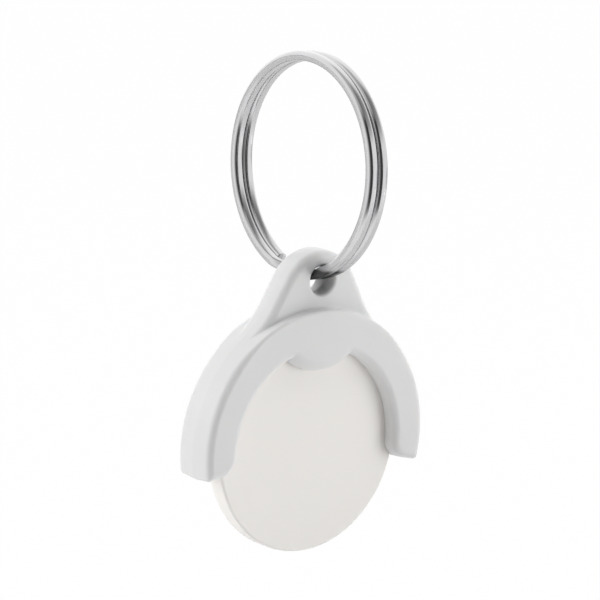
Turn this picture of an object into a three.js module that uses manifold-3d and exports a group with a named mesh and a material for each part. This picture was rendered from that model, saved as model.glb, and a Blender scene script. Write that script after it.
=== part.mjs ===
// Trolley coin keyring: a moulded clip grips a plastic coin and hangs on a steel split ring.
// Millimetres, +Z up. The clip and the coin stand in the XZ plane, and the ring stands in the YZ plane.
// The origin is the point inside the top of the ring where the keyring hangs.

import * as THREE from "three";
import { mergeVertices } from "three/addons/utils/BufferGeometryUtils.js";
import Module from "manifold-3d";

// Coin
const COIN_DIAMETER = 23.25;
const COIN_THICKNESS = 2.15;
const COIN_EDGE_ROUND = 0.25;

// Fit of the coin in the groove of the holder
const GROOVE_EDGE_CLEARANCE = 0.2;
const GROOVE_FACE_CLEARANCE = 0.15;

// Holder: the arch that grips the coin. Its outside is struck from a centre above the coin's, by the
// crown, so its wall is thickest at the top.
const ARCH_THICKNESS = 5.4;
const ARCH_WALL = 2.615;
const ARCH_CROWN = 0.26;
const ARCH_EDGE_ROUND = 0.8;
const ARM_REACH_ANGLE = 11.4;
const ARM_FACE_CORNER = 0.06;
const LIP_OVERLAP = 1.32;
const LIP_EDGE_ROUND = 0.8;
const LIP_END_FLARE = 1.8;
const MOULD_DRAFT_ANGLE = 3;

// Holder: the tongue in the middle of each lip, whose edge runs out on the coin in a soft ramp
const TONGUE_RADIUS = 6.4;
const TONGUE_DROP = 2.45;
const TONGUE_RAMP = 1.2;
const TONGUE_RAMP_DEPTH = 1.4;

// Holder: the lug with the eye for the ring
const LUG_THICKNESS = 3.32;
const LUG_TOP_RADIUS = 5;
const LUG_TAPER_ANGLE = 29;
const LUG_EDGE_ROUND = 0.7;
const LUG_FOOT_BLEND = 4.5;
const LUG_ROOT_DEPTH = 1.3;
const EYE_DIAMETER = 3.25;
const EYE_EDGE_ROUND = 0.5;
const EYE_ABOVE_ARCH = 2.85;
const EYE_TO_LUG_TOP = 3.11;

// Split ring: one flattened wire in two turns side by side
const RING_OUTER_DIAMETER = 23.84;
const WIRE_WIDTH = 1.22;
const WIRE_HEIGHT = 1.04;
const WIRE_SIDE_FLAT = 0.18;
const TURN_GAP = 0.07;
const RING_SEAT_CLEARANCE = 0.18;
const RING_LEAN = 2.16;
const RING_TWIST_ANGLE = -0.75;
const CROSSOVER_START_ANGLE = 250;
const CROSSOVER_SPAN_ANGLE = 16;
const WIRE_END_GAP_ANGLE = 1.5;

// Fineness of the facets, and how far a cutting tool runs past what it cuts
const COIN_FACETS = 96;
const ARC_STEP_ANGLE = 3.6;
const SMALL_ARC_STEPS = 4;
const EDGE_ROUND_STEPS = 4;
const WIRE_CORNER_SEGMENTS = 1;
const RING_STEPS = 200;
const CUT_OVERRUN = 1;

// Sizes that follow from the ones above
const coinRadius = COIN_DIAMETER / 2;
const grooveRadius = coinRadius + GROOVE_EDGE_CLEARANCE;
const grooveWidth = COIN_THICKNESS + 2 * GROOVE_FACE_CLEARANCE;
const archRadius = grooveRadius + ARCH_WALL;
const lipRadius = coinRadius - LIP_OVERLAP;
const armReach = THREE.MathUtils.degToRad(ARM_REACH_ANGLE);
const draftSlope = Math.tan(THREE.MathUtils.degToRad(MOULD_DRAFT_ANGLE));
const armEndCorner = ARM_FACE_CORNER + ARCH_EDGE_ROUND + (draftSlope * ARCH_THICKNESS) / 2;
const eyeRadius = EYE_DIAMETER / 2;
const eyeHeight = ARCH_CROWN + archRadius + EYE_ABOVE_ARCH;
const lugTopHeight = eyeHeight + EYE_TO_LUG_TOP - LUG_TOP_RADIUS;
const wireCorner = (WIRE_HEIGHT - WIRE_SIDE_FLAT) / 2;
const turnPitch = WIRE_WIDTH + TURN_GAP;
const ringInnerRadius = RING_OUTER_DIAMETER / 2 - WIRE_HEIGHT;
const ringWireRadius = (RING_OUTER_DIAMETER - WIRE_HEIGHT) / 2;

// The ring bears on the front rim of the eye's roof, so its centre follows from the eye and the lean.
const eyeRoof = Math.sqrt(eyeRadius ** 2 - (turnPitch / 2) ** 2);
const ringDropAtFront = Math.sqrt(ringInnerRadius ** 2 - (RING_LEAN + LUG_THICKNESS / 2) ** 2);
const ringCentreHeight = eyeHeight + eyeRoof - RING_SEAT_CLEARANCE + ringDropAtFront;
const hangHeight = ringCentreHeight + ringInnerRadius;

const wasm = await Module();
wasm.setup();

// Closed geometry as a solid that can be joined and cut.
function solidOf(geometry) {
  const bare = geometry.clone();
  bare.deleteAttribute("normal");
  bare.deleteAttribute("uv");
  const merged = mergeVertices(bare);
  return new wasm.Manifold(
    new wasm.Mesh({
      numProp: 3,
      vertProperties: merged.attributes.position.array,
      triVerts: new Uint32Array(merged.index.array),
    }),
  );
}

// The geometry of a solid, flat shaded.
function geometryOf(solid) {
  const { vertProperties, triVerts } = solid.getMesh();
  const geometry = new THREE.BufferGeometry();
  geometry.setAttribute("position", new THREE.BufferAttribute(vertProperties, 3));
  geometry.setIndex(new THREE.BufferAttribute(triVerts, 1));
  const facets = geometry.toNonIndexed();
  facets.computeVertexNormals();
  return facets;
}

// Points of an arc in the XZ plane, from one angle to another about a centre, each with the
// rounding of the moulding's edge there: how far the edge draws in, and over what depth.
function arcPoints(centre, radius, from, to, steps, edgeAt) {
  return Array.from({ length: steps + 1 }, (_, i) => {
    const share = i / steps;
    const angle = THREE.MathUtils.lerp(from, to, share);
    return {
      x: centre.x + radius * Math.cos(angle),
      z: centre.y + radius * Math.sin(angle),
      edge: edgeAt(share),
    };
  });
}

// Arc steps that keep the angle between facets even along a long arc.
function stepsFor(from, to) {
  return Math.ceil(THREE.MathUtils.radToDeg(Math.abs(to - from)) / ARC_STEP_ANGLE);
}

// How far each point of a closed outline moves to draw the whole outline in by one unit.
function inwardMitres(outline) {
  const leftOf = (a, b) => new THREE.Vector2(a.z - b.z, b.x - a.x).normalize();
  return outline.map((point, i) => {
    const before = leftOf(outline.at(i - 1), point);
    const after = leftOf(point, outline[(i + 1) % outline.length]);
    return before.clone().add(after).divideScalar(1 + before.dot(after));
  });
}

// A moulded slab that stands in the XZ plane: widest at its parting line in the middle plane,
// drafted towards both faces, with each edge rounded as a quarter ellipse of its point's own size.
function mouldedSlab(outline, thickness) {
  const mitres = inwardMitres(outline);
  const quarter = Array.from(
    { length: EDGE_ROUND_STEPS + 1 },
    (_, k) => (Math.PI / 2) * (k / EDGE_ROUND_STEPS),
  );
  const rows = [
    ...quarter.map((turn) => ({ side: -1, turn })).reverse(),
    { side: 0, turn: 0 },
    ...quarter.map((turn) => ({ side: 1, turn })),
  ];
  const positions = rows.flatMap(({ side, turn }) =>
    outline.flatMap(({ x, z, edge }, i) => {
      const away = thickness / 2 - edge.depth * (1 - Math.sin(turn));
      const rounding = edge.inset * (1 - Math.cos(turn));
      const drawn = Math.abs(side) * (draftSlope * away + rounding);
      return [x + mitres[i].x * drawn, side * away, z + mitres[i].y * drawn];
    }),
  );
  const count = outline.length;
  const index = [];
  for (let row = 0; row < rows.length - 1; row += 1) {
    for (let i = 0; i < count; i += 1) {
      const a = row * count + i;
      const b = row * count + ((i + 1) % count);
      index.push(a, a + count, b + count, a, b + count, b);
    }
  }
  const lastRow = (rows.length - 1) * count;
  const face = outline.map((_, i) => new THREE.Vector2(positions[3 * i], positions[3 * i + 2]));
  for (const [a, b, c] of THREE.ShapeUtils.triangulateShape(face, [])) {
    index.push(a, b, c, lastRow + a, lastRow + c, lastRow + b);
  }
  const slab = new THREE.BufferGeometry();
  slab.setAttribute("position", new THREE.Float32BufferAttribute(positions, 3));
  slab.setIndex(index);
  return slab;
}

// The arch and its lips as one outline: round the outside from the right arm's end to the left
// arm's, then back along the lips and the tongue between them.
function archOutline() {
  const centre = new THREE.Vector2(0, 0);
  const crown = new THREE.Vector2(0, ARCH_CROWN);
  const archEdge = { inset: ARCH_EDGE_ROUND, depth: ARCH_EDGE_ROUND };
  const lipEdge = { inset: LIP_EDGE_ROUND, depth: LIP_EDGE_ROUND };
  const tongueEdge = (share) => {
    const swell = Math.sin(Math.PI * share);
    return {
      inset: THREE.MathUtils.lerp(LIP_EDGE_ROUND, TONGUE_RAMP, swell),
      depth: THREE.MathUtils.lerp(LIP_EDGE_ROUND, TONGUE_RAMP_DEPTH, swell),
    };
  };

  // The end of an arm is cut along a radius, with a small corner outside and a wide flare inside.
  const cornerRise = armEndCorner - ARCH_CROWN * Math.cos(armReach);
  const cornerTurn = Math.asin(cornerRise / (archRadius - armEndCorner));
  const flareTurn = Math.asin(LIP_END_FLARE / (lipRadius + LIP_END_FLARE));
  const onRadius = (radius, angle) =>
    new THREE.Vector2(radius * Math.cos(angle), radius * Math.sin(angle));
  const outerFrom = -armReach + cornerTurn;
  const innerFrom = -armReach + flareTurn;
  const rightCorner = onRadius(archRadius - armEndCorner, outerFrom).add(crown);
  const leftCorner = onRadius(archRadius - armEndCorner, Math.PI - outerFrom).add(crown);
  const leftFlare = onRadius(lipRadius + LIP_END_FLARE, Math.PI - innerFrom);
  const rightFlare = onRadius(lipRadius + LIP_END_FLARE, innerFrom);
  const endTurn = Math.PI / 2 - armReach;

  // The tongue's arc meets the lips' circle in two sharp notches.
  const tongueHeight = lipRadius - TONGUE_DROP + TONGUE_RADIUS;
  const notchZ =
    (lipRadius ** 2 + tongueHeight ** 2 - TONGUE_RADIUS ** 2) / (2 * tongueHeight);
  const notchX = Math.sqrt(lipRadius ** 2 - notchZ ** 2);
  const notchAngle = Math.atan2(notchZ, notchX);
  const tongueAngle = Math.atan2(notchZ - tongueHeight, notchX);
  const tongueCentre = new THREE.Vector2(0, tongueHeight);

  const onArch = (middle, radius, from, to, steps) =>
    arcPoints(middle, radius, from, to, steps, () => archEdge);
  const onLip = (middle, radius, from, to, steps) =>
    arcPoints(middle, radius, from, to, steps, () => lipEdge);
  const small = SMALL_ARC_STEPS;
  const outer = [outerFrom, Math.PI - outerFrom];
  const leftLip = [Math.PI - innerFrom, Math.PI - notchAngle];
  const rightLip = [notchAngle, innerFrom];
  const tongue = [-Math.PI - tongueAngle, tongueAngle];
  return [
    ...onArch(rightCorner, armEndCorner, endTurn - Math.PI, outerFrom, small),
    ...onArch(crown, archRadius, ...outer, stepsFor(...outer)).slice(1, -1),
    ...onArch(leftCorner, armEndCorner, Math.PI - outerFrom, 2 * Math.PI - endTurn, small),
    ...onLip(leftFlare, LIP_END_FLARE, -endTurn, -innerFrom, small),
    ...onLip(centre, lipRadius, ...leftLip, stepsFor(...leftLip)).slice(1, -1),
    ...arcPoints(tongueCentre, TONGUE_RADIUS, ...tongue, stepsFor(...tongue), tongueEdge),
    ...onLip(centre, lipRadius, ...rightLip, stepsFor(...rightLip)).slice(1, -1),
    ...onLip(rightFlare, LIP_END_FLARE, Math.PI + innerFrom, Math.PI + endTurn, small),
  ];
}

// The lug: a round top, sides that taper out along its tangents, and a hollow blend into the arch.
function lugOutline() {
  const edge = { inset: LUG_EDGE_ROUND, depth: LUG_EDGE_ROUND };
  const taper = THREE.MathUtils.degToRad(LUG_TAPER_ANGLE);
  const topCentre = new THREE.Vector2(0, lugTopHeight);

  // The blend touches the side and the arch from outside, so its centre lies at a set distance
  // beyond the side's line and on a circle about the crown, the centre of the arch's outside.
  const topRise = lugTopHeight - ARCH_CROWN;
  const sideOffset = LUG_TOP_RADIUS + LUG_FOOT_BLEND + topRise * Math.sin(taper);
  const along = Math.sqrt((archRadius + LUG_FOOT_BLEND) ** 2 - sideOffset ** 2);
  const fromCrown = new THREE.Vector2(
    sideOffset * Math.cos(taper) - along * Math.sin(taper),
    sideOffset * Math.sin(taper) + along * Math.cos(taper),
  );
  const footCentre = fromCrown.clone().setY(fromCrown.y + ARCH_CROWN);
  const foot = [Math.PI + fromCrown.angle(), Math.PI + taper];
  const rightFoot = arcPoints(footCentre, LUG_FOOT_BLEND, ...foot, SMALL_ARC_STEPS, () => edge);
  const leftFoot = rightFoot.map((point) => ({ ...point, x: -point.x })).reverse();
  const top = [taper, Math.PI - taper];
  const { x: rootX, z: footZ } = rightFoot[0];
  return [
    { x: -rootX, z: footZ - LUG_ROOT_DEPTH, edge },
    { x: rootX, z: footZ - LUG_ROOT_DEPTH, edge },
    ...rightFoot,
    ...arcPoints(topCentre, LUG_TOP_RADIUS, ...top, stepsFor(...top), () => edge),
    ...leftFoot,
  ];
}

// The room for the coin between the lips: round above, and open straight down past the arms.
function coinGroove() {
  const below = archRadius + CUT_OVERRUN;
  const outline = new THREE.Shape();
  outline.moveTo(grooveRadius, -below);
  outline.lineTo(grooveRadius, 0);
  outline.absarc(0, 0, grooveRadius, 0, Math.PI, false);
  outline.lineTo(-grooveRadius, -below);
  const groove = new THREE.ExtrudeGeometry(outline, {
    depth: grooveWidth,
    bevelEnabled: false,
    curveSegments: COIN_FACETS / 2,
  });
  groove.translate(0, 0, -grooveWidth / 2);
  groove.rotateX(Math.PI / 2);
  return groove;
}

// The eye as a turned tool: a cylinder that flares over the rounded rim at each face of the lug.
function eyeCutter() {
  const half = LUG_THICKNESS / 2;
  const flare = Array.from({ length: SMALL_ARC_STEPS + 1 }, (_, k) => {
    const turn = (Math.PI / 2) * (k / SMALL_ARC_STEPS);
    return new THREE.Vector2(
      eyeRadius + EYE_EDGE_ROUND * (1 - Math.cos(turn)),
      half - EYE_EDGE_ROUND * (1 - Math.sin(turn)),
    );
  });
  const rimRadius = eyeRadius + EYE_EDGE_ROUND;
  const end = half + CUT_OVERRUN;
  const upper = [...flare, new THREE.Vector2(rimRadius, end), new THREE.Vector2(0, end)];
  const lower = upper.map((point) => new THREE.Vector2(point.x, -point.y)).reverse();
  const cutter = new THREE.LatheGeometry([...lower, ...upper], COIN_FACETS / 2);
  cutter.translate(0, 0, eyeHeight);
  return cutter;
}

function holderGeometry() {
  const arch = solidOf(mouldedSlab(archOutline(), ARCH_THICKNESS));
  const lug = solidOf(mouldedSlab(lugOutline(), LUG_THICKNESS));
  const holder = arch.add(lug).subtract(solidOf(coinGroove())).subtract(solidOf(eyeCutter()));
  return geometryOf(holder);
}

// The coin: a turned disc with rounded rims, on its edge.
function coinGeometry() {
  const half = COIN_THICKNESS / 2;
  const rim = Array.from({ length: SMALL_ARC_STEPS + 1 }, (_, k) => {
    const turn = (Math.PI / 2) * (k / SMALL_ARC_STEPS);
    return new THREE.Vector2(
      coinRadius - COIN_EDGE_ROUND * (1 - Math.cos(turn)),
      half - COIN_EDGE_ROUND * (1 - Math.sin(turn)),
    );
  });
  const upper = [...rim, new THREE.Vector2(0, half)];
  const lower = upper.map((point) => new THREE.Vector2(point.x, -point.y)).reverse();
  return new THREE.LatheGeometry([...lower, ...upper], COIN_FACETS);
}

// The middle line of the ring's wire. Angles run about +X from the front of the ring over its top.
// The wire starts behind the crossover on the near turn, goes round, crosses over to the far turn
// and goes round again until it meets the crossover from the other side.
class SplitRingLine extends THREE.Curve {
  constructor() {
    super();
    this.start = CROSSOVER_START_ANGLE + CROSSOVER_SPAN_ANGLE + WIRE_END_GAP_ANGLE;
    this.crossover = CROSSOVER_START_ANGLE + 360;
    this.end = CROSSOVER_START_ANGLE - WIRE_END_GAP_ANGLE + 720;
  }

  getPoint(share, target = new THREE.Vector3()) {
    const degrees = THREE.MathUtils.lerp(this.start, this.end, share);
    const angle = THREE.MathUtils.degToRad(degrees);
    const crossed = THREE.MathUtils.smoothstep(
      degrees,
      this.crossover,
      this.crossover + CROSSOVER_SPAN_ANGLE,
    );
    return target.set(
      turnPitch * (crossed - 1 / 2),
      -ringWireRadius * Math.cos(angle),
      ringWireRadius * Math.sin(angle),
    );
  }
}

// The flattened wire's section: a rectangle with well rounded corners.
function wireSection() {
  const x = WIRE_WIDTH / 2 - wireCorner;
  const y = WIRE_HEIGHT / 2 - wireCorner;
  const section = new THREE.Shape();
  section.absarc(x, y, wireCorner, 0, Math.PI / 2, false);
  section.absarc(-x, y, wireCorner, Math.PI / 2, Math.PI, false);
  section.absarc(-x, -y, wireCorner, Math.PI, Math.PI * 1.5, false);
  section.absarc(x, -y, wireCorner, Math.PI * 1.5, Math.PI * 2, false);
  return section;
}

function ringGeometry() {
  return new THREE.ExtrudeGeometry(wireSection(), {
    steps: RING_STEPS,
    curveSegments: WIRE_CORNER_SEGMENTS,
    extrudePath: new SplitRingLine(),
  });
}

const holderPlastic = new THREE.MeshStandardMaterial({ color: 0xe9ebed, roughness: 0.38, metalness: 0 });
const coinPlastic = new THREE.MeshStandardMaterial({ color: 0xefece7, roughness: 0.5, metalness: 0 });
const ringSteel = new THREE.MeshStandardMaterial({ color: 0xc4c6c9, roughness: 0.22, metalness: 1 });

function piece(name, geometry, material) {
  const mesh = new THREE.Mesh(geometry, material);
  mesh.name = name;
  return mesh;
}

// The holder and its coin are placed from the coin's centre, the ring from its own centre.
const clip = new THREE.Group();
clip.position.set(0, -RING_LEAN, -hangHeight);
clip.add(piece("holder", holderGeometry(), holderPlastic));
clip.add(piece("coin", coinGeometry(), coinPlastic));

const ring = piece("split_ring", ringGeometry(), ringSteel);
ring.position.set(0, 0, -ringInnerRadius);
ring.rotation.z = THREE.MathUtils.degToRad(RING_TWIST_ANGLE);

const keyring = new THREE.Group();
keyring.add(clip, ring);

export default keyring;
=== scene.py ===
"""Trolley coin keyring: a moulded white holder, the plastic coin it grips and its steel split ring.

The holder and the coin stand in the XZ plane, and the ring stands in the YZ plane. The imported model
gives the places. The finer surfaces are worked out here in millimetres about their own centres and
then placed. Blender's own units are metres.
"""

import math

import bmesh
import bpy
import numpy as np
from mathutils import Matrix, Vector


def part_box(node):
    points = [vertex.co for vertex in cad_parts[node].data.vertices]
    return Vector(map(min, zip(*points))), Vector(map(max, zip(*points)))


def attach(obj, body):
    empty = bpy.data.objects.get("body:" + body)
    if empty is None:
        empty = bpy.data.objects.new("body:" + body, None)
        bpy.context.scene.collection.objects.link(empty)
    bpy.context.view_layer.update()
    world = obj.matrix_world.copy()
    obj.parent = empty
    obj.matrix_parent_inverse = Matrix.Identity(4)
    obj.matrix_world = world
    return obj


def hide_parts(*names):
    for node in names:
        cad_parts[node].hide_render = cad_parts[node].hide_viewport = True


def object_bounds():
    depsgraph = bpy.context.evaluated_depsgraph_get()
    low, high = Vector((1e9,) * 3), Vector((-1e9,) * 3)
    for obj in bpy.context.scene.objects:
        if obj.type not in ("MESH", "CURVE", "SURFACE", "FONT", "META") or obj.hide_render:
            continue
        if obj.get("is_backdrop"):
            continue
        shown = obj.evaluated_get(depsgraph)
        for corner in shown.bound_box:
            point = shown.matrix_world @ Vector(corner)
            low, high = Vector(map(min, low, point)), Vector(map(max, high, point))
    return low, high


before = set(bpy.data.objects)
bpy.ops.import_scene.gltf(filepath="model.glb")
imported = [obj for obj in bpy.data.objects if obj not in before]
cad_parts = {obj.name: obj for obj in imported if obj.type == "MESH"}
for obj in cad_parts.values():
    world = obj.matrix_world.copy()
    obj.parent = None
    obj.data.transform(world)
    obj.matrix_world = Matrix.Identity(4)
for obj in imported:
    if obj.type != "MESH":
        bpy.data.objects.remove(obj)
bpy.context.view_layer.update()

MM = 0.001

# ---- Sizes, in millimetres

# Coin
COIN_EDGE_ROUND = 0.27
COIN_RIM_RING = 0.05  # Two extra rings of points this far apart keep the faces flat to the rim.

# Holder: the arch, its arms and lips
ARCH_WALL = 2.615
ARCH_CROWN = 0.26
ARCH_HALF_THICKNESS = 2.7
ARCH_EDGE_ROUND = 0.72
ARCH_TOP_EDGE_ROUND = 0.3
GROOVE_EDGE_CLEARANCE = 0.2
GROOVE_FACE_CLEARANCE = 0.03
GROOVE_EDGE_ROUND = 0.08
ARM_REACH_ANGLE = math.radians(11.4)
ARM_END_CORNER = 0.45
LIP_OVERLAP = 1.32
LIP_EDGE_ROUND = 0.8
LIP_END_FLARE = 1.8
DRAFT_SLOPE = math.tan(math.radians(3))

# The arch's sharper top edge round fades in between these cosines of the angle from straight up.
ARCH_TOP_COSINES = (0.6, 0.85)

# Holder: the tongue over the top of the coin
TONGUE_RADIUS = 6.4
TONGUE_DROP = 2.45
TONGUE_RAMP = 1.3
TONGUE_FILLET = 0.12

# Holder: the lug and its eye
LUG_HALF_THICKNESS = 1.66
LUG_TOP_RADIUS = 5.0
LUG_TAPER_ANGLE = math.radians(29)
LUG_EDGE_ROUND = 0.8
LUG_FOOT_BLEND = 12
EYE_RADIUS = 1.43
EYE_FRONT_DRAFT_SLOPE = math.tan(math.radians(7))
EYE_REAR_DRAFT_SLOPE = math.tan(math.radians(11))
EYE_FRONT_EDGE_ROUND = 0.25
EYE_REAR_EDGE_ROUND = 0.15
EYE_ABOVE_ARCH = 2.85
EYE_TO_LUG_TOP = 3.11

# The fillet in the step from the lug's face to the arch fades in from this far under that face.
STEP_FILLET = 0.12
STEP_FILLET_START = 0.45
STEP_FILLET_FADE = 0.3

# Split ring
WIRE_WIDTH = 1.22
WIRE_HEIGHT = 1.04
WIRE_CORNER = 0.43
TURN_GAP = 0.07
WIRE_END_BEVEL = 0.06
RING_TWIST_ANGLE = math.radians(-0.75)
CROSSOVER_START_DEGREES = 250
CROSSOVER_SPAN_DEGREES = 16
WIRE_END_GAP_DEGREES = 1.5

# Fineness of the meshes: the holder's grid, its margins round the solid, the slide of its points,
# the steps of the coin and the wire, and the distance at which the coin's points become one
SKIN_CELL = 0.12
SKIN_SIDE_MARGIN = 3.5 * SKIN_CELL
SKIN_DEPTH_MARGIN_CELLS = 1.5
SKIN_LOW_MARGIN = 0.4
SKIN_HIGH_MARGIN = 0.3
SLIDE_PASSES = 5
SLIDE_PROBE_SHARE = 1 / 100
SLIDE_LIMIT_SHARE = 1 / 3
SLIDE_LEAST_SLOPE_SQUARED = 0.2
COIN_FACETS = 288
COIN_PROFILE_STEPS = 9
WIRE_CORNER_STEPS = 7
RING_STEPS = 1200
WELD_DISTANCE = 0.0001

# The coin's box gives its centre and size, and the ring's box gives the radius of its middle line.
coin_low, coin_high = (np.array(corner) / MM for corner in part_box("coin"))
ring_low, ring_high = (np.array(corner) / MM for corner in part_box("split_ring"))
COIN_CENTRE = (coin_low + coin_high) / 2
COIN_RADIUS = (coin_high[2] - coin_low[2]) / 2
COIN_HALF_THICKNESS = (coin_high[1] - coin_low[1]) / 2
RING_RADIUS = (ring_high[2] - ring_low[2] - WIRE_HEIGHT) / 2
RING_CENTRE = np.array([0.0, 0.0, -(RING_RADIUS - WIRE_HEIGHT / 2)])

GROOVE_RADIUS = COIN_RADIUS + GROOVE_EDGE_CLEARANCE
GROOVE_HALF_WIDTH = COIN_HALF_THICKNESS + GROOVE_FACE_CLEARANCE
ARCH_RADIUS = GROOVE_RADIUS + ARCH_WALL
LIP_RADIUS = COIN_RADIUS - LIP_OVERLAP
TONGUE_HEIGHT = LIP_RADIUS - TONGUE_DROP + TONGUE_RADIUS
EYE_HEIGHT = ARCH_CROWN + ARCH_RADIUS + EYE_ABOVE_ARCH
LUG_TOP_HEIGHT = EYE_HEIGHT + EYE_TO_LUG_TOP - LUG_TOP_RADIUS
LUG_ROOT_RADIUS = GROOVE_RADIUS + ARCH_WALL / 3
LUG_ROOT_HEIGHT = LIP_RADIUS / 2

# ---- Values of the finishes: lengths in metres, scales per metre, colours as linear values

PLASTIC_IOR = 1.49
SCATTER_RADIUS = (1.0, 0.9, 0.8)
SCATTER_SCALE = 0.0008
SKIN_RELIEF_DEPTH = 0.00002
HOLDER_FINISH = {
    "tone": (0.77, 0.77, 0.77, 1),
    "drift_tone": (0.74, 0.74, 0.74, 1),
    "roughness": 0.26,
    "mottle_scale": 900,
    "marks": 0.1,
    "bump": 0.08,
    "translucence": 0.25,
}
COIN_FINISH = {
    "tone": (0.94, 0.913, 0.878, 1),
    "drift_tone": (0.925, 0.9, 0.868, 1),
    "roughness": 0.4,
    "mottle_scale": 2400,
    "marks": 0.3,
    "bump": 0.12,
    "translucence": 0.1,
}

# The moulded skin: each noise's scale and detail, the marks' direction and how few they are, and
# what the mottle and the marks do to the roughness and the height
DRIFT_NOISE = (180, 3)
MOTTLE_DETAIL = 4
MARK_NOISE = (4200, 2)
MARK_TURN = (0.2, 0.5, 0.3)
MARK_STRETCH = (1.0, 1.0, 0.08)
MARK_RANGE = (0.66, 0.74)
MOTTLE_ROUGHNESS = 0.08
MARK_ROUGHNESS = 0.12
MARK_HEIGHT = -0.5

# The mould's parting line: the ridge's half width at its foot and at its top, and its height as a
# multiple of the mottle's
PARTING_HALF_WIDTHS = (0.00012, 0.00003)
PARTING_HEIGHT = 1.6

# Steel: the plating's bright and dull tones and roughness, its clouds and its drawn lines
STEEL_TONES = ((0.72, 0.72, 0.73, 1), (0.62, 0.62, 0.63, 1))
STEEL_ROUGHNESS = (0.1, 0.24)
CLOUD_NOISE = (420, 4)
LINE_NOISE = (1.0, 3)
LINE_STRETCH = (0.35, 60, 1)
LINE_STRENGTH = 0.35
LINE_DEPTH = 0.00001

# Steel: painted shade, a blackened stretch at the bottom of the ring from the eye forwards, which
# stands in for the wire's dark reflection of the shaded eye: its tone, the height under which it
# lies, the depth in front of which it lies, the softness of its two edges and how far the clouds
# make its top ragged
PAINTED_SHADE_TONE = (0.1, 0.1, 0.1, 1)
PAINTED_SHADE_TOP = -0.0208
PAINTED_SHADE_TOP_SOFTNESS = 0.0002
PAINTED_SHADE_RAGGEDNESS = 0.0004
PAINTED_SHADE_BACK = 0.0025
PAINTED_SHADE_BACK_FADE = 0.0015

# ---- Values of the studio: lengths in metres

# Camera
VIEW_AZIMUTH = math.radians(-39.43)
VIEW_ELEVATION = math.radians(12.52)
VIEW_ROLL = math.radians(3.85)
VIEW_DISTANCE = 0.4
VIEW_CLIP = (0.01, 20)
FOCAL_PIXELS = 3804
PICTURE_PIXELS = 600
COIN_PIXEL = (302.07, 441.46)
SENSOR_WIDTH_MM = 36

# Lamps: the bearing to the right of the camera's and the height, in degrees, then the distance and
# the power in watts
LAMPS = {
    "lamp_right": (82, 0, 0.25, 0.25),
    "lamp_above_right": (74, 66, 0.7, 1.5),
    "lamp_left": (-79, 14, 0.7, 1.6),
    "lamp_low_front": (10, -38, 0.7, 0.6),
}
LAMP_SIDE_SHARE = 0.65  # of its distance
LAMP_AIM_ABOVE_COIN = 0.01

# Floor
FLOOR_DROP = 0.016
FLOOR_FRONT = 0.018
FLOOR_SIZE = 3.0
FLOOR_WHITE_SHARE = 0.985
FLOOR_TONE = (0.8, 0.8, 0.8, 1)
FLOOR_ROUGHNESS = 0.8
FLOOR_SPECULAR = 0.1

# The tent, in degrees. Bearings count to the right from the camera's, and each pair is the start
# and the end of a fade. Strengths are shares of plain white.
WHITE = (1, 1, 1, 1)
DARK_LEFT = (-75, 22)
DARK_RIGHT = (56, 72)
DARK_BOTTOM = (-46, -26)
DARK_TOP = (42, 66)
DARK_STRENGTH = 0.05
TOP_LEAN_RIGHT = 0.22
TOP_LEAN_FRONT = 0.15
TOP_EDGE_HEIGHTS = (45, 62)
TOP_STRENGTH = 0.55
PATCH_BEARING = 88
PATCH_HEIGHT = 51
PATCH_EDGE_ANGLES = (32, 12)
PATCH_STRENGTH = 0.4
GLOW_BEARING = -160
GLOW_EDGE_COSINES = (0.2, 1.0)
GLOW_STRENGTH = 1.2
SOFT_REAR_SHARE = 0.55  # The rear wall lights the plastic less than it shows in the metal.


# ---- Surfaces


def mesh_piece(name, points, corners, sides, body):
    """A smooth-shaded mesh from an array of points in millimetres, a flat array of face corners and
    the number of sides of each face."""
    mesh = bpy.data.meshes.new(name)
    mesh.vertices.add(len(points))
    mesh.vertices.foreach_set("co", (points * MM).astype(np.float32).ravel())
    mesh.loops.add(len(corners))
    mesh.loops.foreach_set("vertex_index", corners.astype(np.int32))
    starts = np.concatenate(([0], np.cumsum(sides)[:-1]))
    mesh.polygons.add(len(sides))
    mesh.polygons.foreach_set("loop_start", starts.astype(np.int32))
    mesh.polygons.foreach_set("use_smooth", np.ones(len(sides), bool))
    mesh.update(calc_edges=True)
    mesh.validate()
    piece = bpy.data.objects.new(name, mesh)
    bpy.context.scene.collection.objects.link(piece)
    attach(piece, body)
    return piece


def face_outwards(piece, merge_distance=0):
    """Turns all faces outwards. Points that lie within the merge distance become one first."""
    work = bmesh.new()
    work.from_mesh(piece.data)
    if merge_distance:
        bmesh.ops.remove_doubles(work, verts=work.verts, dist=merge_distance)
    bmesh.ops.recalc_face_normals(work, faces=work.faces)
    work.to_mesh(piece.data)
    work.free()


def grid_quads(rows, columns):
    """Quads of a grid of points stored row by row, whose columns close on themselves."""
    row = np.arange(rows - 1)[:, None] * columns
    column = np.arange(columns)[None, :]
    across = (column + 1) % columns
    quads = [row + column, row + across, row + columns + across, row + columns + column]
    return np.stack(quads, axis=-1).reshape(-1, 4)


def smooth_step(value):
    """0 below 0, 1 above 1 and 3t^2 - 2t^3 between."""
    value = np.clip(value, 0, 1)
    return value**2 * (3 - 2 * value)


def rounded_meet(a, b, radius):
    """The overlap of two solids given by their distances, with a round edge of that radius: the
    larger distance inside, and beyond it the length of (a + radius, b + radius) less the radius."""
    return np.minimum(np.maximum(a, b), -radius) + np.hypot(
        np.maximum(a + radius, 0), np.maximum(b + radius, 0)
    )


def filleted_join(a, b, radius):
    """The union of two solids given by their distances, with a hollow fillet of that radius: the
    smaller distance, but where the solids meet it is the radius less the length of (radius - a,
    radius - b)."""
    return np.maximum(np.minimum(a, b), radius) - np.hypot(
        np.maximum(radius - a, 0), np.maximum(radius - b, 0)
    )


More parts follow.
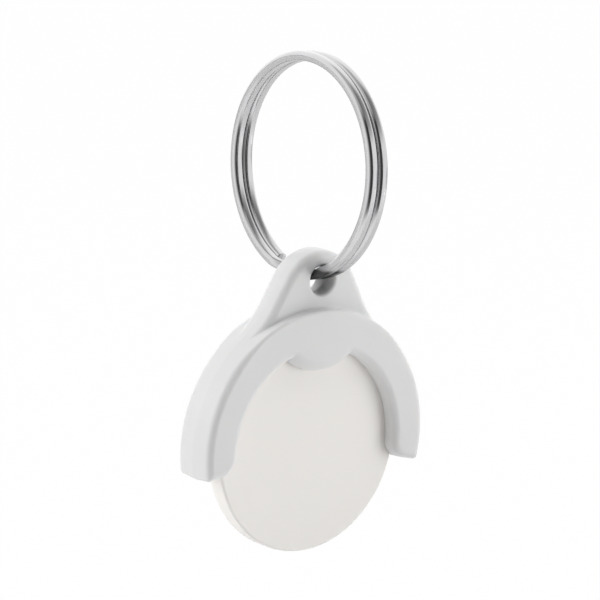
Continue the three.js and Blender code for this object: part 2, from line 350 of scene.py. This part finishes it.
def arch_field(x, y, z, drawn):
    """Distance outside the arch: a ring sector of the wall's width, cut off along a radius below
    each arm, with flat faces, whose inner edge is the lips' circle joined by the tongue's disc."""
    reach = np.hypot(x, z)
    outer = np.hypot(x, z - ARCH_CROWN)
    face = np.abs(y) - ARCH_HALF_THICKNESS
    end = -np.abs(x) * math.sin(ARM_REACH_ANGLE) - z * math.cos(ARM_REACH_ANGLE) + drawn
    outline = rounded_meet(outer - ARCH_RADIUS + drawn, end, ARM_END_CORNER)
    lip = rounded_meet(LIP_RADIUS - reach + drawn, end, LIP_END_FLARE)
    tongue = np.hypot(x, z - TONGUE_HEIGHT) - TONGUE_RADIUS + drawn
    inner = filleted_join(
        rounded_meet(lip, face, LIP_EDGE_ROUND),
        rounded_meet(tongue, face, TONGUE_RAMP),
        TONGUE_FILLET,
    )
    from_cosine, to_cosine = ARCH_TOP_COSINES
    cosine = z / np.maximum(reach, 1)
    top = smooth_step((cosine - from_cosine) / (to_cosine - from_cosine))
    edge_round = ARCH_EDGE_ROUND + (ARCH_TOP_EDGE_ROUND - ARCH_EDGE_ROUND) * top
    return np.maximum(rounded_meet(outline, face, edge_round), inner)


def lug_field(x, y, z, drawn):
    """Distance outside the lug: a disc with tangent sides that taper out, a hollow arc from each
    side to the arch's outside, and two flat faces. It ends inside the arch's wall."""
    span = np.abs(x)
    rise = z - ARCH_CROWN
    outer = np.hypot(x, rise)
    cos_taper, sin_taper = math.cos(LUG_TAPER_ANGLE), math.sin(LUG_TAPER_ANGLE)
    top = z - LUG_TOP_HEIGHT
    side = np.where(
        -span * sin_taper + top * cos_taper > 0,
        np.hypot(x, top) - LUG_TOP_RADIUS,
        span * cos_taper + top * sin_taper - LUG_TOP_RADIUS,
    )
    offset = LUG_TOP_RADIUS + LUG_FOOT_BLEND + (LUG_TOP_HEIGHT - ARCH_CROWN) * sin_taper
    down = math.sqrt((ARCH_RADIUS + LUG_FOOT_BLEND) ** 2 - offset**2)
    foot_x = offset * cos_taper - down * sin_taper
    foot_z = offset * sin_taper + down * cos_taper
    to_x, to_z = span - foot_x, rise - foot_z
    in_foot = (to_x * sin_taper - to_z * cos_taper > 0) & (foot_x * to_z - foot_z * to_x > 0)
    outline = np.where(
        in_foot, LUG_FOOT_BLEND - np.hypot(to_x, to_z), np.minimum(side, outer - ARCH_RADIUS)
    )
    slab = rounded_meet(outline + drawn, np.abs(y) - LUG_HALF_THICKNESS, LUG_EDGE_ROUND)
    return np.maximum(slab, np.maximum(LUG_ROOT_RADIUS - np.hypot(x, z), LUG_ROOT_HEIGHT - z))


def holder_field(x, y, z):
    """Distance outside the whole moulding about the coin's centre: the arch and the lug joined,
    less the coin's groove, round above and open straight down, and less the eye, which widens to
    both faces and has the rounder edge in front."""
    depth = np.abs(y)
    drawn = depth * DRAFT_SLOPE
    outwards = (depth - LUG_HALF_THICKNESS + STEP_FILLET_START) / STEP_FILLET_FADE
    fillet = STEP_FILLET * np.clip(outwards, 0, 1)
    body = filleted_join(arch_field(x, y, z, drawn), lug_field(x, y, z, drawn), fillet)
    groove = np.maximum(
        depth - GROOVE_HALF_WIDTH, np.hypot(x, np.maximum(z, 0)) - GROOVE_RADIUS
    )
    eye_drawn = depth * np.where(y < 0, EYE_FRONT_DRAFT_SLOPE, EYE_REAR_DRAFT_SLOPE)
    eye_round = np.where(y < 0, EYE_FRONT_EDGE_ROUND, EYE_REAR_EDGE_ROUND)
    eye = EYE_RADIUS + eye_drawn - np.hypot(x, z - EYE_HEIGHT)
    return rounded_meet(rounded_meet(body, -groove, GROOVE_EDGE_ROUND), eye, eye_round)


def crossed_edges(values, axis):
    """The grid edges along an axis whose two ends lie on different sides of the surface, away from
    the grid's own sides: their first node, their crossing in cells, and the value at that node."""
    counts = np.array(values.shape)
    near = np.moveaxis(values, axis, 0)[:-1]
    far = np.moveaxis(values, axis, 0)[1:]
    at = np.argwhere((near < 0) != (far < 0))
    start, end = near[tuple(at.T)], far[tuple(at.T)]
    nodes = np.empty_like(at)
    nodes[:, [axis] + [i for i in range(3) if i != axis]] = at
    place = nodes.astype(float)
    place[:, axis] += start / (start - end)
    across = [(axis + 1) % 3, (axis + 2) % 3]
    inner = ((nodes[:, across] > 0) & (nodes[:, across] < counts[across] - 1)).all(axis=1)
    return nodes[inner], place[inner], start[inner]


def skin(field, low, high, cell):
    """The zero surface of a distance field as quads. Each grid cell that the surface crosses holds
    one point at the mean of its edge crossings, each crossed grid edge becomes a quad of its four
    cells, and the points then slide down the field's slope onto the surface."""
    counts = np.ceil((high - low) / cell).astype(int) + 1
    axes = [low[i] + cell * np.arange(counts[i]) for i in range(3)]
    values = field(*np.meshgrid(*axes, indexing="ij"))
    total = np.zeros(tuple(counts - 1) + (3,))
    hits = np.zeros(tuple(counts - 1), int)
    quads = []
    for axis in range(3):
        nodes, place, start = crossed_edges(values, axis)
        around = []
        for back_second, back_third in ((1, 1), (0, 1), (0, 0), (1, 0)):
            cells = nodes.copy()
            cells[:, (axis + 1) % 3] -= back_second
            cells[:, (axis + 2) % 3] -= back_third
            np.add.at(total, tuple(cells.T), place)
            np.add.at(hits, tuple(cells.T), 1)
            around.append(cells)
        around = np.stack(around, axis=1)
        around[start >= 0] = around[start >= 0][:, ::-1]
        quads.append(around)
    used = np.argwhere(hits > 0)
    number = np.full(hits.shape, -1)
    number[tuple(used.T)] = np.arange(len(used))
    points = low + cell * total[tuple(used.T)] / hits[tuple(used.T)][:, None]
    quads = number[tuple(np.moveaxis(np.concatenate(quads), -1, 0))]
    probe = cell * SLIDE_PROBE_SHARE
    limit = cell * SLIDE_LIMIT_SHARE
    for _ in range(SLIDE_PASSES):
        here = field(*points.T)
        rises = [
            field(*(points + shift).T) - field(*(points - shift).T) for shift in np.eye(3) * probe
        ]
        slope = np.stack(rises, axis=1) / (2 * probe)
        steepness = np.maximum((slope**2).sum(1), SLIDE_LEAST_SLOPE_SQUARED)
        move = here[:, None] * slope / steepness[:, None]
        points = points - np.clip(move, -limit, limit)
    return points, quads


def holder_piece():
    """The holder's skin. Its grid is even about the parting plane, which halves a layer of it."""
    depth_cells = math.ceil(ARCH_HALF_THICKNESS / SKIN_CELL) + SKIN_DEPTH_MARGIN_CELLS
    half_width = ARCH_RADIUS + SKIN_SIDE_MARGIN
    half_depth = depth_cells * SKIN_CELL
    bottom = -ARCH_RADIUS * math.sin(ARM_REACH_ANGLE) - SKIN_LOW_MARGIN
    top = EYE_HEIGHT + EYE_TO_LUG_TOP + SKIN_HIGH_MARGIN
    low = np.array([-half_width, -half_depth, bottom])
    high = np.array([half_width, half_depth, top])
    points, quads = skin(holder_field, low, high, SKIN_CELL)
    points = points + COIN_CENTRE
    sides = np.full(len(quads), 4)
    piece = mesh_piece("holder_moulding", points, quads.ravel(), sides, "clip")
    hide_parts("holder")
    return piece


def coin_piece():
    """A disc turned about Y: flat faces out to the rim, a quarter round at each edge and a straight
    side. The profile is an array of (radius, depth) pairs, and the angle runs round it."""
    turn = np.linspace(0, math.pi / 2, COIN_PROFILE_STEPS)
    shares = np.linspace(0, 1, COIN_PROFILE_STEPS)[:-1]
    levels = np.linspace(1, -1, COIN_PROFILE_STEPS)[1:-1]
    rim = COIN_RADIUS - COIN_EDGE_ROUND
    flat = np.append(shares * (rim - 2 * COIN_RIM_RING), rim - COIN_RIM_RING)
    radius = np.concatenate((flat, COIN_RADIUS - COIN_EDGE_ROUND * (1 - np.sin(turn))))
    depth = np.concatenate(
        (
            np.full(len(flat), COIN_HALF_THICKNESS),
            COIN_HALF_THICKNESS - COIN_EDGE_ROUND * (1 - np.cos(turn)),
        )
    )
    side = levels * (COIN_HALF_THICKNESS - COIN_EDGE_ROUND)
    radius = np.concatenate((radius, np.full(len(side), COIN_RADIUS), radius[::-1]))
    depth = np.concatenate((depth, side, -depth[::-1]))
    angle = np.arange(COIN_FACETS) * 2 * math.pi / COIN_FACETS
    x = radius[:, None] * np.cos(angle)
    y = np.broadcast_to(-depth[:, None], x.shape)
    z = radius[:, None] * np.sin(angle)
    points = np.stack([x, y, z], axis=-1).reshape(-1, 3) + COIN_CENTRE
    quads = grid_quads(len(radius), COIN_FACETS)
    sides = np.full(len(quads), 4)
    piece = mesh_piece("coin_disc", points, quads.ravel(), sides, "token")
    face_outwards(piece, merge_distance=WELD_DISTANCE * MM)
    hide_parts("coin")
    return piece


def wire_section():
    """The wire's outline across its width and its height: a rectangle with round corners."""
    corner = np.radians(np.linspace(0, 90, WIRE_CORNER_STEPS))
    across, upwards = [], []
    for side_x, side_y, start in ((1, 1, 0), (-1, 1, 90), (-1, -1, 180), (1, -1, 270)):
        angle = corner + math.radians(start)
        across.append(side_x * (WIRE_WIDTH / 2 - WIRE_CORNER) + WIRE_CORNER * np.cos(angle))
        upwards.append(side_y * (WIRE_HEIGHT / 2 - WIRE_CORNER) + WIRE_CORNER * np.sin(angle))
    return np.concatenate(across), np.concatenate(upwards)


def ring_piece():
    """The wire's rounded section carried along two turns of a circle about X. The turn steps over
    from one side to the other by a smooth step in the crossover, and each cut end has a small
    bevel. The UV map "wire" runs along the wire in millimetres, and once round its section."""
    begin = CROSSOVER_START_DEGREES + CROSSOVER_SPAN_DEGREES + WIRE_END_GAP_DEGREES
    finish = CROSSOVER_START_DEGREES - WIRE_END_GAP_DEGREES + 2 * 360
    bevel = math.degrees(WIRE_END_BEVEL / RING_RADIUS)
    degrees = np.append(np.linspace(begin, finish, RING_STEPS), (begin + bevel, finish - bevel))
    degrees.sort()
    angle = np.radians(degrees)
    crossed = smooth_step((degrees - CROSSOVER_START_DEGREES - 360) / CROSSOVER_SPAN_DEGREES)
    middle_x = (WIRE_WIDTH + TURN_GAP) * (crossed - 0.5)
    section_x, section_y = wire_section()
    shrink = np.ones(len(angle))
    shrink[[0, -1]] = 1 - 2 * WIRE_END_BEVEL / WIRE_HEIGHT
    x = middle_x[:, None] + shrink[:, None] * section_x
    radius = RING_RADIUS + shrink[:, None] * section_y
    y = -radius * np.cos(angle)[:, None]
    z = radius * np.sin(angle)[:, None]
    turn = np.array(Matrix.Rotation(RING_TWIST_ANGLE, 3, "Z"))
    points = np.stack([x, y, z], axis=-1).reshape(-1, 3) @ turn.T + RING_CENTRE

    rows, columns = len(angle), len(section_x)
    quads = grid_quads(rows, columns)
    rim = np.arange(columns)
    corners = np.concatenate((quads.ravel(), rim[::-1], rim + (rows - 1) * columns))
    sides = np.concatenate((np.full(len(quads), 4), [columns, columns]))
    piece = mesh_piece("split_ring_wire", points, corners, sides, "ring")

    length = np.radians(degrees - begin) * RING_RADIUS
    around = np.arange(columns + 1) / columns
    row, column = np.indices((rows - 1, columns))
    u = length[np.stack([row, row, row + 1, row + 1], axis=-1)]
    v = around[np.stack([column, column + 1, column + 1, column], axis=-1)]
    uv = np.stack([u, v], axis=-1).reshape(-1, 2)
    uv = np.concatenate((uv, np.zeros((2 * columns, 2))))
    layer = piece.data.uv_layers.new(name="wire")
    layer.uv.foreach_set("vector", uv.astype(np.float32).ravel())
    face_outwards(piece)
    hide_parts("split_ring")
    return piece


# ---- Nodes


def feed(tree, node, inputs):
    """Sets a node's inputs by name or number. Each is given as a value or as an output to link."""
    for key, given in inputs.items():
        if isinstance(given, bpy.types.NodeSocket):
            tree.links.new(given, node.inputs[key])
        else:
            node.inputs[key].default_value = given


def add_node(tree, kind, inputs=None, **settings):
    """A new node with its settings and inputs."""
    node = tree.nodes.new(kind)
    for name, value in settings.items():
        setattr(node, name, value)
    feed(tree, node, inputs or {})
    return node


def math_node(tree, operation, *values):
    """The result of a sum on outputs and plain numbers."""
    node = add_node(tree, "ShaderNodeMath", dict(enumerate(values)), operation=operation)
    return node.outputs["Value"]


def ramp(tree, value, start, end, low=0.0, high=1.0, interpolation="LINEAR"):
    """A value taken from the range start to end to the range low to high, and held beyond it."""
    inputs = {"Value": value, "From Min": start, "From Max": end, "To Min": low, "To Max": high}
    node = add_node(tree, "ShaderNodeMapRange", inputs, interpolation_type=interpolation)
    return node.outputs["Result"]


def fade(tree, value, edge, low=0.0, high=1.0):
    """A soft ramp over an edge, which is given as its start and its end."""
    return ramp(tree, value, *edge, low, high, "SMOOTHSTEP")


def product(tree, first, *others):
    """The product of outputs and plain numbers."""
    for other in others:
        first = math_node(tree, "MULTIPLY", first, other)
    return first


def along(tree, ray, axis):
    """How far a ray points along an axis: the cosine of the angle between them."""
    inputs = {0: ray, 1: axis}
    node = add_node(tree, "ShaderNodeVectorMath", inputs, operation="DOT_PRODUCT")
    return node.outputs["Value"]


def noise(tree, place, scale, detail):
    """Noise from 0 to 1 at a place."""
    inputs = {"Vector": place, "Scale": scale, "Detail": detail}
    return add_node(tree, "ShaderNodeTexNoise", inputs).outputs["Fac"]


def mix_colours(tree, share, first, second):
    """The first colour where the share is 0 and the second where it is 1."""
    inputs = {"Factor": share, "A": first, "B": second}
    return add_node(tree, "ShaderNodeMix", inputs, data_type="RGBA").outputs["Result"]


def stretched(tree, place, scale, turn=(0, 0, 0)):
    """A place scaled and turned before it goes into a noise."""
    inputs = {"Vector": place, "Scale": scale, "Rotation": turn}
    return add_node(tree, "ShaderNodeMapping", inputs).outputs["Vector"]


def object_place(tree):
    """The place in the piece's own coordinates."""
    return add_node(tree, "ShaderNodeTexCoord").outputs["Object"]


def add_relief(tree, shader, height, strength, depth):
    """A bump on the shader from a height."""
    inputs = {"Height": height, "Strength": strength, "Distance": depth}
    relief = add_node(tree, "ShaderNodeBump", inputs)
    feed(tree, shader, {"Normal": relief.outputs["Normal"]})


def new_material(name):
    """A material, its node tree and its surface shader."""
    material = bpy.data.materials.new(name)
    material.use_nodes = True
    tree = material.node_tree
    return material, tree, tree.nodes["Principled BSDF"]


# ---- Finishes


def moulded_skin_group():
    """Colour, roughness and height of moulded plastic: a broad, faint drift of tone, a fine mottle
    from the tool's polish, and a few short rubbed marks."""
    group = bpy.data.node_groups.new("moulded_skin", "ShaderNodeTree")
    for name, kind, in_out in (
        ("Tone", "NodeSocketColor", "INPUT"),
        ("Drift Tone", "NodeSocketColor", "INPUT"),
        ("Roughness", "NodeSocketFloat", "INPUT"),
        ("Mottle Scale", "NodeSocketFloat", "INPUT"),
        ("Marks", "NodeSocketFloat", "INPUT"),
        ("Color", "NodeSocketColor", "OUTPUT"),
        ("Roughness", "NodeSocketFloat", "OUTPUT"),
        ("Height", "NodeSocketFloat", "OUTPUT"),
    ):
        group.interface.new_socket(name=name, in_out=in_out, socket_type=kind)
    given = add_node(group, "NodeGroupInput").outputs
    place = object_place(group)
    drift = noise(group, place, *DRIFT_NOISE)
    mottle = noise(group, place, given["Mottle Scale"], MOTTLE_DETAIL)
    marks = noise(group, stretched(group, place, MARK_STRETCH, MARK_TURN), *MARK_NOISE)
    rubbed = product(group, ramp(group, marks, *MARK_RANGE), given["Marks"])
    spread = math_node(group, "MULTIPLY_ADD", mottle, MOTTLE_ROUGHNESS, given["Roughness"])
    finish = {
        "Color": mix_colours(group, drift, given["Tone"], given["Drift Tone"]),
        "Roughness": math_node(group, "MULTIPLY_ADD", rubbed, MARK_ROUGHNESS, spread),
        "Height": math_node(group, "MULTIPLY_ADD", rubbed, MARK_HEIGHT, mottle),
    }
    add_node(group, "NodeGroupOutput", finish)
    return group


def plastic(name, skin_group, finish, parting_depth=None):
    """A moulded plastic with its own values in the shared skin. If a parting depth along Y is
    given, a fine raised line stands there, where the two halves of the mould met."""
    material, tree, shader = new_material(name)
    values = {
        "Tone": finish["tone"],
        "Drift Tone": finish["drift_tone"],
        "Roughness": finish["roughness"],
        "Mottle Scale": finish["mottle_scale"],
        "Marks": finish["marks"],
    }
    surface = add_node(tree, "ShaderNodeGroup", node_tree=skin_group)
    feed(tree, surface, values)
    height = surface.outputs["Height"]
    if parting_depth is not None:
        split = add_node(tree, "ShaderNodeSeparateXYZ", {"Vector": object_place(tree)})
        away = math_node(tree, "ADD", split.outputs["Y"], -parting_depth)
        away = math_node(tree, "ABSOLUTE", away)
        ridge = ramp(tree, away, *PARTING_HALF_WIDTHS, 0.0, PARTING_HEIGHT)
        height = math_node(tree, "ADD", ridge, height)
    look = {
        "Base Color": surface.outputs["Color"],
        "Roughness": surface.outputs["Roughness"],
        "IOR": PLASTIC_IOR,
        "Subsurface Weight": finish["translucence"],
        "Subsurface Radius": SCATTER_RADIUS,
        "Subsurface Scale": SCATTER_SCALE,
    }
    feed(tree, shader, look)
    add_relief(tree, shader, height, finish["bump"], SKIN_RELIEF_DEPTH)
    return material


def drawn_steel():
    """Bright plated wire: fine lines drawn along its length, cloudy patches where the plating is
    duller and slightly darker, and painted shade: a blackened stretch low on the wire from the eye
    forwards, which stands in for the wire's dark reflection of the shaded eye."""
    material, tree, shader = new_material("ring_steel_plated")
    place = object_place(tree)
    wire = add_node(tree, "ShaderNodeUVMap", uv_map="wire").outputs["UV"]
    lines = noise(tree, stretched(tree, wire, LINE_STRETCH), *LINE_NOISE)
    clouds = noise(tree, place, *CLOUD_NOISE)
    split = add_node(tree, "ShaderNodeSeparateXYZ", {"Vector": place}).outputs
    # Painted shade: the wire's colour is darkened low down from the eye forwards, standing in for its
    # dark reflection of the shaded eye.
    ragged = math_node(tree, "MULTIPLY_ADD", clouds, PAINTED_SHADE_RAGGEDNESS, split["Z"])
    low = ramp(
        tree, ragged, PAINTED_SHADE_TOP + PAINTED_SHADE_TOP_SOFTNESS, PAINTED_SHADE_TOP - PAINTED_SHADE_TOP_SOFTNESS
    )
    near = ramp(tree, split["Y"], PAINTED_SHADE_BACK, PAINTED_SHADE_BACK - PAINTED_SHADE_BACK_FADE)
    painted_shade = product(tree, low, near)
    tone = mix_colours(tree, clouds, *STEEL_TONES)
    look = {
        "Metallic": 1.0,
        "Base Color": mix_colours(tree, painted_shade, tone, PAINTED_SHADE_TONE),
        "Roughness": ramp(tree, clouds, 0.0, 1.0, *STEEL_ROUGHNESS),
    }
    feed(tree, shader, look)
    add_relief(tree, shader, lines, LINE_STRENGTH, LINE_DEPTH)
    return material


# ---- Studio


def direction(turn, rise):
    """The unit vector of an azimuth, counted from -Y towards +X, and a height angle."""
    level = math.cos(rise)
    return Vector((math.sin(turn) * level, -math.cos(turn) * level, math.sin(rise)))


def make_camera():
    """The camera stands back from the coin's centre and is turned so that the centre falls on its
    pixel. Gives the view's level direction to the right and the direction back to the camera."""
    right = Vector((math.cos(VIEW_AZIMUTH), math.sin(VIEW_AZIMUTH), 0))
    back = direction(VIEW_AZIMUTH, VIEW_ELEVATION)
    up = back.cross(right)
    across = right * math.cos(VIEW_ROLL) + up * math.sin(VIEW_ROLL)
    upward = up * math.cos(VIEW_ROLL) - right * math.sin(VIEW_ROLL)
    axes = Matrix((across, upward, back)).transposed()
    middle = PICTURE_PIXELS / 2
    ray = Vector((COIN_PIXEL[0] - middle, middle - COIN_PIXEL[1], -FOCAL_PIXELS)).normalized()
    turn = Vector((0, 0, -1)).rotation_difference(ray)
    turned = axes @ turn.to_matrix().inverted()
    stand = Vector(COIN_CENTRE * MM) + back * VIEW_DISTANCE
    data = bpy.data.cameras.new("camera")
    data.sensor_width = SENSOR_WIDTH_MM
    data.lens = FOCAL_PIXELS / PICTURE_PIXELS * SENSOR_WIDTH_MM
    data.clip_start, data.clip_end = VIEW_CLIP
    camera = bpy.data.objects.new("camera", data)
    bpy.context.scene.collection.objects.link(camera)
    camera.matrix_world = Matrix.Translation(stand) @ turned.to_4x4()
    bpy.context.scene.camera = camera
    return right, back


def softbox(name, bearing, height, distance, power):
    """A square lamp that faces a point above the coin's centre from a bearing, counted to the right
    from the camera's, and a height angle, both in degrees. Bright metal doesn't mirror it."""
    data = bpy.data.lights.new(name, "AREA")
    data.shape = "SQUARE"
    data.size = LAMP_SIDE_SHARE * distance
    data.energy = power
    lamp = bpy.data.objects.new(name, data)
    bpy.context.scene.collection.objects.link(lamp)
    aim = Vector(COIN_CENTRE * MM) + Vector((0, 0, LAMP_AIM_ABOVE_COIN))
    outwards = direction(VIEW_AZIMUTH + math.radians(bearing), math.radians(height))
    lamp.location = aim + outwards * distance
    lamp.rotation_mode = "QUATERNION"
    lamp.rotation_quaternion = outwards.to_track_quat("Z", "Y")
    lamp.visible_glossy = False


def make_floor(right, back):
    """A pale table top under the keyring, whose front edge runs across the view just before it.
    What the camera sees of it is nearly all plain white, and the rest is the lit surface with the
    keyring's shadow."""
    low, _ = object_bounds()
    front = Vector((back.x, back.y, 0)).normalized()
    height = Vector((0, 0, low.z - FLOOR_DROP))
    near, far, wide = front * FLOOR_FRONT, front * -FLOOR_SIZE, right * FLOOR_SIZE
    corners = [near - wide, near + wide, far + wide, far - wide]
    material, tree, lit = new_material("floor_pale")
    look = {
        "Base Color": FLOOR_TONE,
        "Roughness": FLOOR_ROUGHNESS,
        "Specular IOR Level": FLOOR_SPECULAR,
    }
    feed(tree, lit, look)
    white = add_node(tree, "ShaderNodeEmission", {"Color": WHITE, "Strength": 1.0})
    seen = add_node(tree, "ShaderNodeLightPath").outputs["Is Camera Ray"]
    share = product(tree, seen, FLOOR_WHITE_SHARE)
    shaders = {"Fac": share, 1: lit.outputs["BSDF"], 2: white.outputs["Emission"]}
    blend = add_node(tree, "ShaderNodeMixShader", shaders)
    feed(tree, tree.nodes["Material Output"], {"Surface": blend.outputs["Shader"]})
    mesh = bpy.data.meshes.new("floor")
    mesh.from_pydata([height + corner for corner in corners], [], [(0, 1, 2, 3)])
    mesh.materials.append(material)
    floor = bpy.data.objects.new("floor", mesh)
    bpy.context.scene.collection.objects.link(floor)
    floor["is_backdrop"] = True


def make_world(right, back):
    """A white tent whose top is dimmer and whose opening beside the camera is dark. It is dark from
    the camera's left, softly, to a clear edge on its right, and up to the tent's top. A patch of
    the tent is dim at the upper right, and its rear left glows. The camera itself sees plain
    white."""
    world = bpy.data.worlds.new("studio")
    bpy.context.scene.world = world
    world.use_nodes = True
    tree = world.node_tree
    ray = add_node(tree, "ShaderNodeTexCoord").outputs["Generated"]
    seen = add_node(tree, "ShaderNodeLightPath").outputs
    level = Vector((back.x, back.y, 0)).normalized()
    above = Vector((0, 0, 1))

    height = along(tree, ray, above)
    bearing = math_node(tree, "ARCTAN2", along(tree, ray, right), along(tree, ray, level))
    opening = product(
        tree,
        fade(tree, bearing, np.radians(DARK_LEFT)),
        fade(tree, bearing, np.radians(DARK_RIGHT), 1.0, 0.0),
        fade(tree, height, np.sin(np.radians(DARK_BOTTOM))),
        fade(tree, height, np.sin(np.radians(DARK_TOP)), 1.0, 0.0),
    )
    dark = fade(tree, opening, (0.0, 1.0), 1.0, DARK_STRENGTH)

    lean = (above + right * TOP_LEAN_RIGHT + level * TOP_LEAN_FRONT).normalized()
    top_edge = np.sin(np.radians(TOP_EDGE_HEIGHTS))
    top = fade(tree, along(tree, ray, lean), top_edge, 1.0, TOP_STRENGTH)

    patch = direction(VIEW_AZIMUTH + math.radians(PATCH_BEARING), math.radians(PATCH_HEIGHT))
    patch_edge = np.cos(np.radians(PATCH_EDGE_ANGLES))
    dim = fade(tree, along(tree, ray, patch), patch_edge, 1.0, PATCH_STRENGTH)

    rear = direction(VIEW_AZIMUTH + math.radians(GLOW_BEARING), 0)
    behind = along(tree, ray, rear)
    glow = fade(tree, behind, GLOW_EDGE_COSINES, 1.0, GLOW_STRENGTH)
    soft = product(tree, seen["Is Diffuse Ray"], fade(tree, behind, GLOW_EDGE_COSINES))
    soft = fade(tree, soft, (0.0, 1.0), 1.0, SOFT_REAR_SHARE)

    tent = tree.nodes["Background"]
    feed(tree, tent, {"Color": WHITE, "Strength": product(tree, top, glow, dim, soft, dark)})
    white = add_node(tree, "ShaderNodeBackground", {"Color": WHITE, "Strength": 1.0})
    shaders = {
        "Fac": seen["Is Camera Ray"],
        1: tent.outputs["Background"],
        2: white.outputs["Background"],
    }
    blend = add_node(tree, "ShaderNodeMixShader", shaders)
    feed(tree, tree.nodes["World Output"], {"Surface": blend.outputs["Shader"]})


# ---- The scene

right, back = make_camera()

holder = holder_piece()
coin = coin_piece()
ring = ring_piece()

skin_group = moulded_skin_group()
parting_depth = COIN_CENTRE[1] * MM
holder_plastic = plastic("holder_plastic_gloss", skin_group, HOLDER_FINISH, parting_depth)
holder.data.materials.append(holder_plastic)
coin.data.materials.append(plastic("coin_plastic_satin", skin_group, COIN_FINISH))
ring.data.materials.append(drawn_steel())

make_floor(right, back)
make_world(right, back)
for name, placing in LAMPS.items():
    softbox(name, *placing)

view = bpy.context.scene.view_settings
view.view_transform = "Standard"
